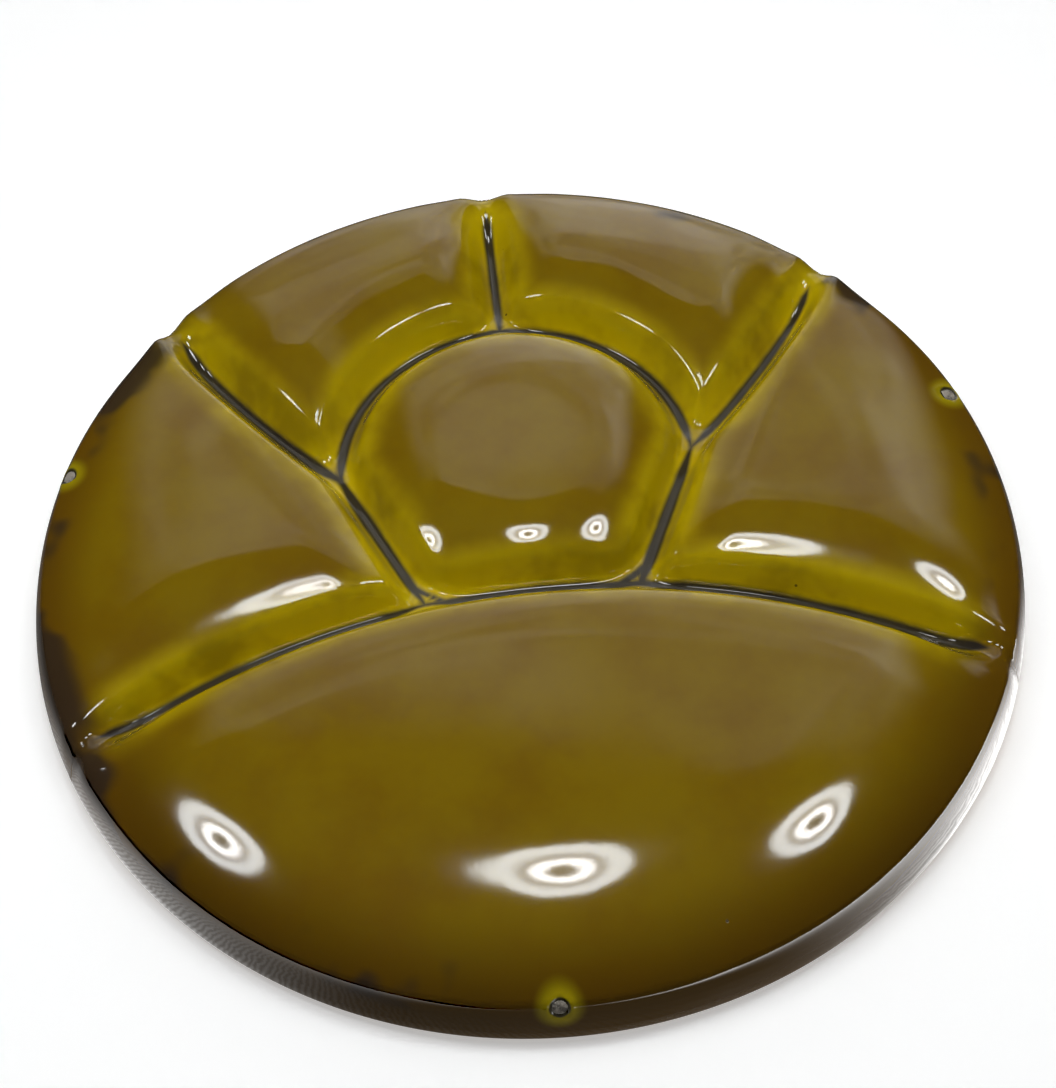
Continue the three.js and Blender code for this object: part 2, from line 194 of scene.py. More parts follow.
# the back of each well is a pillow between soft grooves and a steep skirt at the rim: half the width of
# its grooves, its share of the depth at each line and how far it runs from there, and what its top reaches
pillows = {
    "front": {
        "groove": 8.2,
        "front": (0.37, 22.7),
        "rim": (0.5, 47.5),
        "rimEnds": 38.5,  # the run at its two ends
        "endsBetween": (15.0, 65.0),
        "top": 1.0,
    },
    "centre": {
        "groove": 8.0,
        "front": (0.16, 30.8),
        "neck": (0.18, 27.2),
        "centre": (0.5, 27.1),
        "top": 1.0,
    },
    "side": {
        "groove": 7.0,
        "front": (0.45, 28.9),
        "neck": (0.32, 19.6),
        "side": (0.24, 50.0),
        "rim": (0.43, 40.4),
        "top": 0.998,
    },
    "back": {
        "groove": 8.2,
        "centre": (0.5, 30.0),
        "back": (0.5, 20.0),
        "side": (0.5, 24.0),
        "rim": (0.52, 38.0),
        "top": 0.95,
    },
}
wellLines = {
    "front": ["front"],
    "centre": ["front", "neck", "centre"],
    "side": ["front", "side", "neck"],
    "back": ["side", "back", "centre"],
}

# the hand-pressed back is a little uneven: two waves, each bent by a longer one across it
uneven = {
    "height": 0.12,
    "onFrontWell": 0.3,
    "across": {"length": 7.9, "bend": 1.7, "bendLength": 13.1, "shift": 0.0},
    "along": {"length": 8.7, "bend": 1.9, "bendLength": 11.3, "shift": 0.8},
}

# glaze pools less widely where grooves join and before the rim, in mm
poolNarrowing = {"join": 0.8, "rim": 3.0, "rimBetween": (4.0, 14.0)}


def arcPoints(centre, start, end, shares):  # points at shares of the way anticlockwise round an arc
    first = math.atan2(*(start - centre)[::-1])
    last = math.atan2(*(end - centre)[::-1])
    angles = first + (last - first) % fullTurn * shares
    return centre + np.hypot(*(start - centre)) * np.stack([np.cos(angles), np.sin(angles)], -1)


# every line of the plan as points, anticlockwise round the plate or outwards
def planLines(rimRadius, shares):
    frontEnd = rimMeeting(frontCentre, form["frontRadius"], rimRadius)
    sideEnd = rimMeeting(sideCentre, form["sideRadius"], rimRadius)
    topEnd = np.array([0.0, rimRadius])
    plateCentre = np.zeros(2)
    lines = {
        "frontRight": arcPoints(frontCentre, frontEnd, neck, shares["front"]),
        "frontNeck": arcPoints(frontCentre, neck, neck * mirror, shares["frontNeck"]),
        "neckRight": neck + (elbow - neck) * shares["neck"][:, None],
        "centreRight": arcPoints(wellCentre, elbow, wellTop, shares["centre"]),
        "sideRight": arcPoints(sideCentre, elbow, sideEnd, shares["side"]),
        "back": wellTop + (topEnd - wellTop) * shares["back"][:, None],
        "rimFront": arcPoints(plateCentre, frontEnd * mirror, frontEnd, shares["rimFront"]),
        "rimRight": arcPoints(plateCentre, frontEnd, sideEnd, shares["rimRight"]),
        "rimBackRight": arcPoints(plateCentre, sideEnd, topEnd, shares["rimBack"]),
        "rimBackLeft": arcPoints(plateCentre, topEnd, sideEnd * mirror, shares["rimBack"]),
        "rimLeft": arcPoints(plateCentre, sideEnd * mirror, frontEnd * mirror, shares["rimLeft"]),
    }
    lines["frontLeft"] = lines["frontRight"][::-1] * mirror
    lines["neckLeft"] = lines["neckRight"] * mirror
    lines["centreLeft"] = lines["centreRight"][::-1] * mirror
    lines["sideLeft"] = lines["sideRight"] * mirror
    return lines


# outline of each well, anticlockwise, with a minus before a line that runs the other way
wells = [
    {
        "kind": "front",
        "outline": ["frontRight", "frontNeck", "frontLeft", "rimFront"],
        "spine": ["frontLeft", "frontRight"],
    },
    {
        "kind": "centre",
        "outline": ["-frontNeck", "neckRight", "centreRight", "centreLeft", "-neckLeft"],
        "spine": ["neckLeft", "neckRight"],
    },
    {
        "kind": "side",
        "outline": ["-frontRight", "rimRight", "-sideRight", "-neckRight"],
        "spine": ["frontRight", "sideRight"],
    },
    {
        "kind": "back",
        "outline": ["sideRight", "rimBackRight", "-back", "-centreRight"],
        "spine": ["sideRight", "back"],
    },
    {
        "kind": "back",
        "outline": ["back", "rimBackLeft", "-sideLeft", "-centreLeft"],
        "spine": ["back", "sideLeft"],
    },
    {
        "kind": "side",
        "outline": ["-frontLeft", "neckLeft", "sideLeft", "rimLeft"],
        "spine": ["frontLeft", "sideLeft"],
    },
]
rimNames = ["rimFront", "rimRight", "rimBackRight", "rimBackLeft", "rimLeft"]


# shares along each line: evenly spaced, with more points beside a scar on the rim
def lineShares():
    named = {
        "front": "frontRight",
        "frontNeck": "frontNeck",
        "neck": "neckRight",
        "centre": "centreRight",
        "side": "sideRight",
        "back": "back",
        "rimFront": "rimFront",
        "rimRight": "rimRight",
        "rimBack": "rimBackRight",
        "rimLeft": "rimLeft",
    }
    even = planLines(form["radius"], {name: np.linspace(0, 1, tiling["trialPoints"]) for name in named})
    found = {}
    for name, line in named.items():
        length = np.hypot(*np.diff(even[line], axis=0).T).sum()
        found[name] = np.linspace(0, 1, math.ceil(length / tiling["spacing"]) + 1)
    for scar in scars.values():
        name = scar["line"]
        bearings = np.unwrap(np.arctan2(even[name][:, 1], even[name][:, 0]))
        here = scar["bearing"] + fullTurn * np.round((bearings.mean() - scar["bearing"]) / fullTurn)
        middle = (here - bearings[0]) / (bearings[-1] - bearings[0])
        width = tiling["scarReach"] / form["radius"] / abs(bearings[-1] - bearings[0])
        more = middle + width * np.linspace(-1, 1, tiling["scarPoints"])
        old = found[name][np.abs(found[name] - middle) > width * tiling["scarMargin"]]
        found[name] = np.sort(np.concatenate([old, more]))
    return found


shares = lineShares()
clayRadius = form["radius"] - form["glaze"]
clayCrest = form["height"] - form["glaze"]
clayWidest = clayCrest - form["lipRound"]
clayRib = clayCrest - form["ribDrop"]
clayGroove = clayRib - form["ribClay"]
crestRadius = clayRadius - form["lipWidth"] / 2
faceRadius = clayRadius - form["lipWidth"]


def lipSteps(rings):
    return max(tiling["fewestLipSteps"], rings // tiling["ringsPerLipStep"])


# one side of a skin that lies this far outside the clay
def backSide(coat, rings, skirtRings, pool=0.0):
    return {
        "facing": -1,
        "rim": clayRadius + coat,
        "rimHeight": clayWidest,
        "line": clayGroove,
        "flat": form["glaze"] - coat,
        "crest": clayCrest + coat,
        "rings": rings,
        "skirtRings": skirtRings,
        "pool": pool,
        "lipSteps": lipSteps(rings),
    }


def faceSide(coat, rings):
    return {
        "facing": 1,
        "rim": faceRadius - coat,
        "rimHeight": clayRib + coat,
        "line": clayRib + coat,
        "flat": form["glaze"] + form["floorClay"] + coat,
        "crest": clayCrest + coat,
        "rings": rings,
        "lipSteps": lipSteps(rings),
    }


# product of the walls at a well's own lines and at the rim: 0 on a line, 1 on the flat;
# each wall is a share of the pillow's long curve and the rest of a short one
def backDepth(x, gaps, kind):
    pillow = pillows[kind]
    depth = 1.0
    for line in wellLines[kind]:
        share, run = pillow[line]
        groove = softWall(gaps[line], pillow["groove"])
        depth = depth * (share * roundWall(gaps[line], run) + (1 - share) * groove)
    if kind != "centre":
        share, run = pillow["rim"]
        if kind == "front":  # rounder towards its two ends
            run = run + (pillow["rimEnds"] - run) * smooth(*pillow["endsBetween"], np.abs(x))
        skirt = roundWall(gaps["rim"], form["skirtRun"])
        depth = depth * (share * roundWall(gaps["rim"], run) + (1 - share) * skirt)
    return np.minimum(depth / pillow["top"], 1.0)


# product of the walls of the ribs and of the rim
def faceDepth(gaps, kind):
    depth = 1.0
    for line in wellLines[kind]:
        depth = depth * softWall(gaps[line], form["ribRun"])
    if kind != "centre":
        run = form["faceFrontRimRun"] if kind == "front" else form["faceRimRun"]
        depth = depth * rimWall(gaps["rim"] / run, form["faceRimSteepness"])
    return depth


def wave(here, across, shape):  # a sine whose place is shifted by another one
    bend = shape["bend"] * np.sin(across / shape["bendLength"])
    return np.sin(here / shape["length"] + bend + shape["shift"])


# height = line height carried to the flat by the depth
def wellHeight(x, y, kind, side):
    gaps = lineGaps(x, y, side["rim"])
    rim = gaps["rim"]
    nearest = np.minimum.reduce([gaps[name] for name in wellLines[kind]])
    line = side["line"]
    if side["facing"] > 0:
        depth = faceDepth(gaps, kind)
        return line + (side["flat"] - line) * depth, nearest, rim, depth
    # a groove is shallower before it ends on the rim, and where others join it
    joins = np.min([np.hypot(np.abs(x) - p[0], y - p[1]) for p in (neck, elbow, wellTop)], axis=0)
    joining = np.exp(-((joins / form["saddleReach"]) ** 2))
    runOut = rimWall(rim / form["grooveRunOut"], form["runOutSteepness"])
    line = side["rimHeight"] + (line - side["rimHeight"]) * runOut
    fromFade = ((rim - form["fadeInset"]) / form["fadeReach"]) ** 2 + (nearest / form["fadeWidth"]) ** 2
    fading = np.exp(-fromFade) * roundWall(rim, form["skirtRun"])
    line = line - form["saddle"] * joining - form["fade"] * fading
    beforeRim = 1 - smooth(*poolNarrowing["rimBetween"], rim)
    nearest = nearest + poolNarrowing["join"] * joining + poolNarrowing["rim"] * beforeRim
    waves = wave(x, y, uneven["across"]) + wave(y, x, uneven["along"])
    rise = uneven["height"] * (uneven["onFrontWell"] if kind == "front" else 1.0) * (1 + waves / 2) / 2
    pool = side["pool"] * smooth(0, form["poolStart"], rim)
    depth = np.sqrt(backDepth(x, gaps, kind) ** 2 + pool**2) / np.sqrt(1 + pool**2)
    return line + (side["flat"] - line + rise) * depth, nearest, rim, depth


# numbers of the points of a closed grid in rings, and its quads
def gridTiles(first, rings, around):
    index = first + np.arange(rings * around).reshape(rings, around)
    after = np.roll(index, -1, 1)
    return index, np.stack([index[:-1], after[:-1], after[1:], index[1:]], -1).reshape(-1, 4)


def rimBearings(lines):  # unit vectors from the middle of the plate to the points of its rim
    edge = np.concatenate([lines[n][:-1] for n in rimNames])
    return edge / np.hypot(*edge.T)[:, None]


def unit(ways):
    return ways / np.linalg.norm(ways, axis=-1, keepdims=True)


# bearings of the crest of the lip, midway between those of its two edges
crestWays = unit(rimBearings(planLines(clayRadius, shares)) + rimBearings(planLines(faceRadius, shares)))


# rays from the outline of each well to its spine, in rings, and a face inside the last ring;
# round them the lip, a quarter of an ellipse from the rim up to the crest
def sheet(side):
    lines = planLines(side["rim"], shares)
    points, facts, quads, fills = [], [], [], []
    count = 0
    for well in wells:
        outline = [lines[n[1:]][::-1] if n[0] == "-" else lines[n] for n in well["outline"]]
        run = np.concatenate([line[:-1] for line in outline])
        towards = run.mean(0) * tiling["spineInset"]
        middles = [lines[n][len(lines[n]) // 2] for n in well["spine"]]
        start, end = [middle * (1 - tiling["spineInset"]) + towards for middle in middles]
        way = end - start
        share = np.clip((run - start) @ way / (way @ way), 0, 1)
        onSpine = start + share[:, None] * way
        steps = np.linspace(0, 1, side["rings"] + 1) ** tiling["crowding"]
        if side["facing"] < 0 and well["kind"] in ("front", "side"):  # close together where the scars are
            closer = np.linspace(*tiling["scarRings"], side["skirtRings"])
            steps = np.sort(np.concatenate([steps, closer]))
        steps = steps * tiling["spineReach"]
        plan = run + steps[:, None, None] * (onSpine - run)
        z, gap, rimGap, depth = wellHeight(plan[..., 0], plan[..., 1], well["kind"], side)
        points.append(np.concatenate([plan, z[..., None]], -1).reshape(-1, 3))
        facts.append(np.stack([gap, rimGap, depth], -1).reshape(-1, 3))
        index, tiles = gridTiles(count, len(steps), len(run))
        quads.append(tiles[:, :: side["facing"]])
        fills.append(index[-1][:: side["facing"]])
        count += index.size
    ways = rimBearings(lines)
    turns = np.linspace(0, quarterTurn, side["lipSteps"] + 1)[:, None]
    toCrest = unit(ways + (turns / quarterTurn)[..., None] * (crestWays - ways))
    reach = crestRadius + (side["rim"] - crestRadius) * np.cos(turns)
    z = side["rimHeight"] + (side["crest"] - side["rimHeight"]) * np.sin(turns)
    grid = toCrest.shape[:2]
    lip = np.concatenate([toCrest * reach[..., None], np.broadcast_to(z[..., None], (*grid, 1))], -1)
    points.append(lip.reshape(-1, 3))
    lipRimGaps = np.broadcast_to(-turns * tiling["lipRimGap"], grid)
    lipFacts = np.stack([np.full(grid, tiling["lipLineGap"]), lipRimGaps, np.zeros(grid)], -1)
    facts.append(lipFacts.reshape(-1, 3))
    index, tiles = gridTiles(count, *grid)
    quads.append(tiles[:, :: -side["facing"]])
    return {
        "points": np.concatenate(points),
        "facts": np.concatenate(facts),
        "quads": np.concatenate(quads),
        "fills": fills,
        "crest": index[-1],
    }


# where each scar lies on the glazed wall, and the way the wall faces there
def scarSeats(side):
    seats = []
    step = scarShape["probe"]
    around = np.array([[0, 0], [1, 0], [-1, 0], [0, 1], [0, -1]]) * step
    for scar in scars.values():
        reach = side["rim"] - scar["inset"]
        here = np.array([reach * math.cos(scar["bearing"]), reach * math.sin(scar["bearing"])])
        probes = here + around
        z = wellHeight(probes[:, 0], probes[:, 1], scar["well"], side)[0]
        normal = np.array([(z[1] - z[2]) / (2 * step), (z[3] - z[4]) / (2 * step), -1.0])
        seats.append((np.array([*here, z[0]]), unit(normal)))
    return seats


# distance of points from the axis of the nearest scar, and the way that scar faces
def scarGaps(points, seats):
    gaps = []
    for place, normal in seats:
        offsets = points - place
        fromAxis = np.linalg.norm(offsets - (offsets @ normal)[:, None] * normal, axis=1)
        isBeyond = np.linalg.norm(offsets, axis=1) > scarShape["reach"]
        gaps.append(fromAxis + scarShape["beyond"] * isBeyond)
    nearest = np.argmin(gaps, axis=0)
    return np.min(gaps, axis=0), np.array([normal for place, normal in seats])[nearest]


# gives a sheet's points their distance from a scar as one more fact
def addScarGaps(part, seats):
    gaps, ways = scarGaps(part["points"], seats)
    part["facts"] = np.concatenate([part["facts"], gaps[:, None]], 1)
    return gaps, ways


def turnOver(part):  # the inside of a coat faces the clay
    part["quads"] = part["quads"][:, ::-1]
    part["fills"] = [f[::-1] for f in part["fills"]]


# sheets welded into one closed mesh, with the facts of each point as attributes
def makePiece(name, parts, crestStrips, material):
    shift = np.cumsum([0] + [len(p["points"]) for p in parts])
    points = np.concatenate([p["points"] for p in parts])
    facts = np.concatenate([p["facts"] for p in parts])
    quads = [p["quads"] + s for p, s in zip(parts, shift)]
    for outer, inner in crestStrips:
        a = parts[outer]["crest"] + shift[outer]
        b = parts[inner]["crest"] + shift[inner]
        quads.append(np.stack([a, np.roll(a, -1), np.roll(b, -1), b], -1))
    fills = [f + s for p, s in zip(parts, shift) for f in p["fills"]]
    keys = np.round(points * tiling["weld"]).astype(np.int64)
    _, first, index = np.unique(keys, axis=0, return_index=True, return_inverse=True)
    index = index.reshape(-1)
    faces = index[np.concatenate(quads)].tolist() + [index[f].tolist() for f in fills]
    mesh = bpy.data.meshes.new(name)
    mesh.from_pydata((points[first] * mm).tolist(), [], faces)
    shape = bmesh.new()
    shape.from_mesh(mesh)
    bmesh.ops.triangulate(shape, faces=[f for f in shape.faces if len(f.verts) > 4])
    shape.to_mesh(mesh)
    shape.free()
    for column, label in enumerate(("lineGap", "rimGap", "depth", "scarGap")):
        fact = mesh.attributes.new(label, "FLOAT", "POINT")
        fact.data.foreach_set("value", facts[first, column].astype(np.float32))
    mesh.validate()
    mesh.shade_smooth()
    piece = bpy.data.objects.new(name, mesh)
    bpy.context.scene.collection.objects.link(piece)
    mesh.materials.append(material)
    return piece


# a node's output: sums and products of values add Math nodes
class Socket:
    def __init__(self, tree, out=None):
        self.tree = tree
        self.out = out

    def node(self, kind, settings, inputs, output=0):
        made = self.tree.nodes.new(kind)
        for name, value in settings.items():
            if name == "stops":
                for _ in range(len(value) - 2):  # a new ramp has two stops
                    made.color_ramp.elements.new(0.5)
                for element, (position, colour) in zip(made.color_ramp.elements, value):
                    element.position = position
                    element.color = colour
            else:
                setattr(made, name, value)
        for name, value in inputs.items():
            if isinstance(value, Socket):
                self.tree.links.new(value.out, made.inputs[name])
            else:
                made.inputs[name].default_value = value
        return Socket(self.tree, made.outputs[output]) if made.outputs else None

    def math(self, operation, first, second):
        return self.node("ShaderNodeMath", {"operation": operation}, {0: first, 1: second})

    def __add__(self, other):
        return self.math("ADD", self, other)

    def __radd__(self, other):
        return self.math("ADD", other, self)

    def __sub__(self, other):
        return self.math("SUBTRACT", self, other)

    def __rsub__(self, other):
        return self.math("SUBTRACT", other, self)

    def __mul__(self, other):
        return self.math("MULTIPLY", self, other)

    def __rmul__(self, other):
        return self.math("MULTIPLY", other, self)

    def __truediv__(self, other):
        return self.math("DIVIDE", self, other)

    def ramp(self, start, end):  # 0 at its start, 1 at its end, smooth between
        isRising = start < end
        ends = {"From Min": min(start, end), "From Max": max(start, end)}
        values = {"To Min": 0.0 if isRising else 1.0, "To Max": 1.0 if isRising else 0.0}
        settings = {"interpolation_type": "SMOOTHSTEP"}
        return self.node("ShaderNodeMapRange", settings, {"Value": self, **ends, **values})

    def blend(self, first, second, share):  # two colours, the second by its share
        return self.node("ShaderNodeMix", {"data_type": "RGBA"}, {0: share, 6: first, 7: second}, 2)

    def lay(self, layer, amount):  # a layer's colour over this one
        return self.blend(self, layer["colour"], amount * layer["share"])


def rgb(red, green, blue):  # a colour as it is seen on screen, 0 to 255
    line = [c / 255 / 12.92 if c <= 10 else ((c / 255 + 0.055) / 1.055) ** 2.4 for c in (red, green, blue)]
    return (*line, 1.0)


def newMaterial(name):
    material = bpy.data.materials.new(name)
    material.use_nodes = True
    material.node_tree.nodes.clear()
    return material, Socket(material.node_tree)


def attribute(start, name):
    return start.node("ShaderNodeAttribute", {"attribute_name": name}, {}, 2)


def axis(start, where, number):
    return start.node("ShaderNodeSeparateXYZ", {}, {0: where}, number)


def noise(start, where, look):
    return start.node("ShaderNodeTexNoise", {}, {"Vector": where, **look})


def wander(gap, cloud, width):  # a distance whose edges wander by a share of this width; clouds lie round 0.5
    return gap + (cloud - 0.5) * width


# a layer of colour lies between two distances in mm, with an edge that wanders, and covers what is
# under it by its share
backLook = {
    "flat": rgb(128, 103, 5),
    "warm": {"colour": rgb(112, 81, 2), "between": (0.35, 0.72), "share": 0.75},
    "wall": {"colour": rgb(196, 171, 3), "between": (13.0, 3.0), "wander": 5.0, "share": 1.0},
    "thin": {"between": (0.36, 0.58), "share": 0.5, "least": 0.45},  # how thin the glaze runs on a wall
    # painted shade and painted reflection of the dim room on the front of the rim, over glaze that lies
    # thicker there
    "frontRimShade": {"colour": rgb(76, 50, 2), "between": (27.0, 4.0), "wander": 6.0, "share": 0.8},
    # the rim's brown is partly glaze that lies thicker at the rim and partly painted shade where its walls
    # turn steep
    "rim": {"colour": rgb(72, 50, 4), "between": (9.0, -1.0), "wander": 8.0, "share": 0.85},
    # a lighter copy of the painted rim shade at the left and right sides
    "sideRimShade": {"colour": rgb(98, 68, 3), "between": (19.0, 6.0), "wander": 9.0, "share": 0.85},
    "burnt": {"colour": rgb(42, 34, 30), "between": (13.0, 7.0), "wander": 6.0, "share": 0.8},
    "burntPatches": {"between": (0.58, 0.66), "offLip": (0.8, 2.5), "right": (0.06, 0.11), "more": 0.12},
    "pool": {"colour": rgb(30, 29, 33), "between": (2.15, 0.75), "wander": 1.6, "drift": 2.0, "share": 0.95},
    "halo": {"colour": rgb(158, 142, 8), "between": (6.5, 2.6), "share": 0.9},
    "scar": {"colour": rgb(30, 29, 33), "between": (2.7, 2.2), "share": 0.9},
    "front": (-0.02, -0.06),  # along Y, in m
    "aside": (0.007, 0.0125),  # along X, in m squared
}
faceLook = {
    "flat": rgb(113, 89, 10),
    "warm": {"colour": rgb(104, 74, 4), "between": (0.35, 0.72), "share": 0.75},
    "pool": {"colour": rgb(74, 52, 4), "between": (17.0, 12.5), "wander": 4.0, "share": 0.45},
    "poolDepth": (0.75, 0.97),
    "wall": {"colour": rgb(146, 122, 10), "between": (0.45, 0.0), "share": 0.9},
    "rim": {"colour": rgb(150, 128, 20), "between": (0.5, -2.0), "share": 0.6},
}
glazeNoise = {
    "cloud": {"Scale": 28.0, "Detail": 4.0, "Roughness": 0.6},
    "drift": {"Scale": 9.0, "Detail": 2.0, "Roughness": 0.5},
    "thin": {"Scale": 46.0, "Detail": 3.0, "Roughness": 0.6},
    "burnt": {"Scale": 22.0, "Detail": 3.0, "Roughness": 0.6},
    "fleckSize": {"Scale": 60.0, "Detail": 0.0, "Roughness": 0.5},
    "swell": {"Scale": 34.0, "Detail": 1.0, "Roughness": 0.5},
    "ripple": {"Scale": 110.0, "Detail": 1.0, "Roughness": 0.5},
    "grain": {"Scale": 900.0, "Detail": 2.0, "Roughness": 0.5},
}
fleckLook = {
    "colour": rgb(40, 30, 6),
    "share": 0.8,
    "scale": 150.0,
    "size": 0.07,
    "sizeBetween": (0.62, 0.78),
    "edge": 0.02,
    "dent": 0.1,
    "roughness": 0.2,
}
gloss = {
    "roughness": 0.055,
    "dull": 0.03,  # more where it is cloudy
    "dullBetween": (0.4, 0.8),
    "ior": 1.52,
    "swell": 0.4,
    "ripple": 0.08,
    "grain": 0.012,
    "bump": 0.35,
    "bumpHeight": 0.0006,
}
clayLook = {
    "body": rgb(190, 184, 172),
    "burnt": {"colour": rgb(150, 142, 130), "between": (4.0, 1.6), "share": 0.8},
    "grit": {"colour": rgb(70, 66, 60), "between": (0.45, 0.62), "share": 0.85},
    "cloud": {"Scale": 420.0, "Detail": 4.0, "Roughness": 0.6},
    "gritScale": 1900.0,
    "gritHeight": 0.6,
    "roughness": 0.75,
    "gritRoughness": 0.2,
    "bump": 0.8,
    "bumpHeight": 0.0004,
}


# the back's colours from the ground up: pale walls, a brown rim that is partly painted shade, darker on the
# front and lighter at the sides, burnt patches, dark pools, and a pale ring round each scar
def backColour(start, where, colour, cloud, drift, look):
    lineGap, rimGap, scarGap = (attribute(start, n) for n in ("lineGap", "rimGap", "scarGap"))
    right, forward = (axis(start, where, n) for n in (0, 1))
    inFront = forward.ramp(*look["front"])
    aside = (right * right).ramp(*look["aside"])
    thin = look["thin"]
    thinness = noise(start, where, glazeNoise["thin"]).ramp(*thin["between"]) * thin["share"] + thin["least"]
    wall = look["wall"]
    colour = colour.lay(wall, wander(lineGap, drift, wall["wander"]).ramp(*wall["between"]) * thinness)
    # painted shade on the rim: darker on the front, lighter at the sides
    for name, place in (("frontRimShade", inFront), ("rim", 1.0), ("sideRimShade", aside)):
        layer = look[name]
        colour = colour.lay(layer, wander(rimGap, cloud, layer["wander"]).ramp(*layer["between"]) * place)
    burnt, patchy = look["burnt"], look["burntPatches"]
    patches = noise(start, where, glazeNoise["burnt"]) + right.ramp(*patchy["right"]) * patchy["more"]
    nearRim = wander(rimGap, cloud, burnt["wander"]).ramp(*burnt["between"]) * rimGap.ramp(*patchy["offLip"])
    colour = colour.lay(burnt, patches.ramp(*patchy["between"]) * nearRim)
    pool = look["pool"]
    poolGap = wander(wander(lineGap, cloud, pool["wander"]), drift, pool["drift"])
    colour = colour.lay(pool, poolGap.ramp(*pool["between"]))
    colour = colour.lay(look["halo"], scarGap.ramp(*look["halo"]["between"]))
    return colour.lay(look["scar"], scarGap.ramp(*look["scar"]["between"]))


# the face's colours: glaze settled at the foot of the ribs, thin and pale on them and on the lip
def faceColour(start, colour, drift, look):
    lineGap, rimGap, depth = (attribute(start, n) for n in ("lineGap", "rimGap", "depth"))
    pool = look["pool"]
    atFoot = wander(lineGap, drift, pool["wander"]).ramp(*pool["between"])
    colour = colour.lay(pool, depth.ramp(*look["poolDepth"]) * atFoot)
    colour = colour.lay(look["wall"], depth.ramp(*look["wall"]["between"]))
    return colour.lay(look["rim"], rimGap.ramp(*look["rim"]["between"]))


# glaze: a glossy colour that is deep where it pools and pale where it runs thin, with flecks
def glazeMaterial(name, look, isBack):
    material, start = newMaterial(name)
    where = start.node("ShaderNodeTexCoord", {}, {}, "Object")
    cloud, drift = (noise(start, where, glazeNoise[n]) for n in ("cloud", "drift"))
    warm = look["warm"]
    colour = start.blend(look["flat"], warm["colour"], cloud.ramp(*warm["between"]) * warm["share"])
    if isBack:
        colour = backColour(start, where, colour, cloud, drift, look)
    else:
        colour = faceColour(start, colour, drift, look)
    specks = start.node("ShaderNodeTexVoronoi", {}, {"Vector": where, "Scale": fleckLook["scale"]})
    fleckSize = noise(start, where, glazeNoise["fleckSize"]).ramp(*fleckLook["sizeBetween"])
    flecks = (fleckSize * fleckLook["size"] - specks).ramp(0.0, fleckLook["edge"])
    colour = colour.lay(fleckLook, flecks)
    waviness = ("swell", "ripple", "grain")
    swell, ripple, grain = (noise(start, where, glazeNoise[n]) * gloss[n] for n in waviness)
    height = swell + ripple + (grain - flecks * fleckLook["dent"])
    bumps = {"Strength": gloss["bump"], "Distance": gloss["bumpHeight"], "Height": height}
    dull = cloud.ramp(*gloss["dullBetween"]) * gloss["dull"]
    finish = {
        "Base Color": colour,
        "Roughness": gloss["roughness"] + dull + flecks * fleckLook["roughness"],
        "IOR": gloss["ior"],
        "Normal": start.node("ShaderNodeBump", {}, bumps),
    }
    shader = start.node("ShaderNodeBsdfPrincipled", {}, finish)
    start.node("ShaderNodeOutputMaterial", {}, {"Surface": shader})
    return material


# clay: dull and sandy, burnt darker where the kiln pins stood
def clayMaterial(name, look):
    material, start = newMaterial(name)
    where = start.node("ShaderNodeTexCoord", {}, {}, "Object")
    grit = start.node("ShaderNodeTexVoronoi", {}, {"Vector": where, "Scale": look["gritScale"]})
    cloud = noise(start, where, look["cloud"])
    burnt = look["burnt"]
    inScar = attribute(start, "scarGap").ramp(*burnt["between"])
    colour = start.blend(look["body"], burnt["colour"], inScar * burnt["share"])
    colour = colour.lay(look["grit"], cloud.ramp(*look["grit"]["between"]))
    height = cloud + grit * look["gritHeight"]
    bumps = {"Strength": look["bump"], "Distance": look["bumpHeight"], "Height": height}
    finish = {
        "Base Color": colour,
        "Roughness": look["roughness"] + grit * look["gritRoughness"],
        "Normal": start.node("ShaderNodeBump", {}, bumps),
    }
    shader = start.node("ShaderNodeBsdfPrincipled", {}, finish)
    start.node("ShaderNodeOutputMaterial", {}, {"Surface": shader})
    return material


# the coat on the back: scars sink into it inside a low ridge
backCoat = {"rings": 34, "skirtRings": 20, "innerRings": 16, "innerSkirtRings": 8}
backOutside = backSide(form["glaze"], backCoat["rings"], backCoat["skirtRings"], form["groovePool"])
backOuter = sheet(backOutside)
seats = scarSeats(backOutside)
gaps, ways = addScarGaps(backOuter, seats)
hole = scarShape["hole"]
fromRidge = (gaps - hole - scarShape["ridgeGap"]) / scarShape["ridgeWidth"]
ridge = scarShape["ridge"] * np.exp(-(fromRidge**2))
sunk = scarShape["sink"] * smooth(hole + scarShape["edgeOut"], hole - scarShape["edgeIn"], gaps)
backOuter["points"] = backOuter["points"] + (ridge - sunk)[:, None] * ways
backInner = sheet(backSide(form["clearance"], backCoat["innerRings"], backCoat["innerSkirtRings"]))
addScarGaps(backInner, seats)
turnOver(backInner)
backFinish = glazeMaterial("backGlaze", backLook, True)
backGlaze = makePiece("backGlazeCoat", [backOuter, backInner], [(0, 1)], backFinish)
print("back glaze made with", len(backGlaze.data.polygons), "faces")

# the coat on the face
faceCoat = {"rings": 40, "innerRings": 20}
faceOuter = sheet(faceSide(form["glaze"], faceCoat["rings"]))
addScarGaps(faceOuter, seats)
faceInner = sheet(faceSide(form["clearance"], faceCoat["innerRings"]))
addScarGaps(faceInner, seats)
turnOver(faceInner)
faceFinish = glazeMaterial("faceGlaze", faceLook, False)
faceGlaze = makePiece("faceGlazeCoat", [faceOuter, faceInner], [(1, 0)], faceFinish)
print("face glaze made with", len(faceGlaze.data.polygons), "faces")

